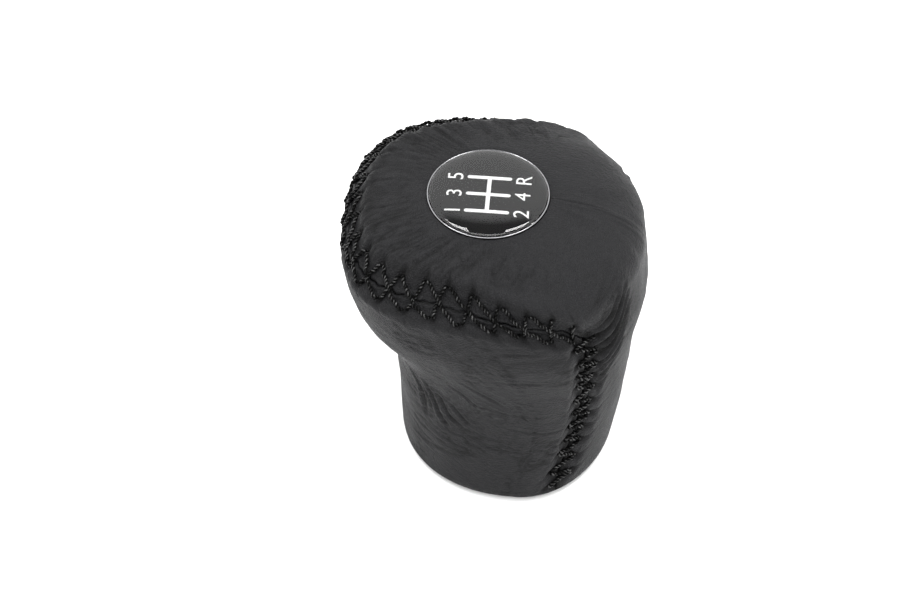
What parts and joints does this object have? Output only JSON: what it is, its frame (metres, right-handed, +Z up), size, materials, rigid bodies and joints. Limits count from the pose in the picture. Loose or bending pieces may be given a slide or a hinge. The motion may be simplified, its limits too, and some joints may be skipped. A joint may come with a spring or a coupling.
{
  "type": "gear shift knob",
  "caption": "Leather wrapped gear shift knob with laced seams, an overhanging head and a round domed badge on its crown.",
  "frame": {"origin": "on the gear lever's axis in the base plane, at the mouth of the threaded insert", "axes": "+Z up along the lever, +Y towards the nose that overhangs the stem, +X across the knob"},
  "size_m": [0.0542, 0.0563, 0.0598],
  "materials": {
    "moulded_core": "moulded black nylon",
    "turned_steel": "turned steel",
    "moulded_cap": "fine textured black plastic",
    "black_leather": "black grained leather with a satin finish",
    "black_thread": "twisted black polyester thread",
    "foam_pad": "closed cell adhesive foam",
    "bright_cup": "bright aluminium",
    "black_print": "black printed film with a plain white pattern",
    "clear_resin": "clear domed resin"
  },
  "bodies": {
    "root": {"core": "moulded_core", "lever_insert": "turned_steel", "base_cap": "moulded_cap", "skirt_leather": "black_leather", "crown_leather": "black_leather", "head_lacing": "black_thread", "left_lacing": "black_thread", "right_lacing": "black_thread", "badge_pad": "foam_pad", "badge_cup": "bright_cup", "badge_print": "black_print", "badge_dome": "clear_resin"}
  },
  "joints": []
}
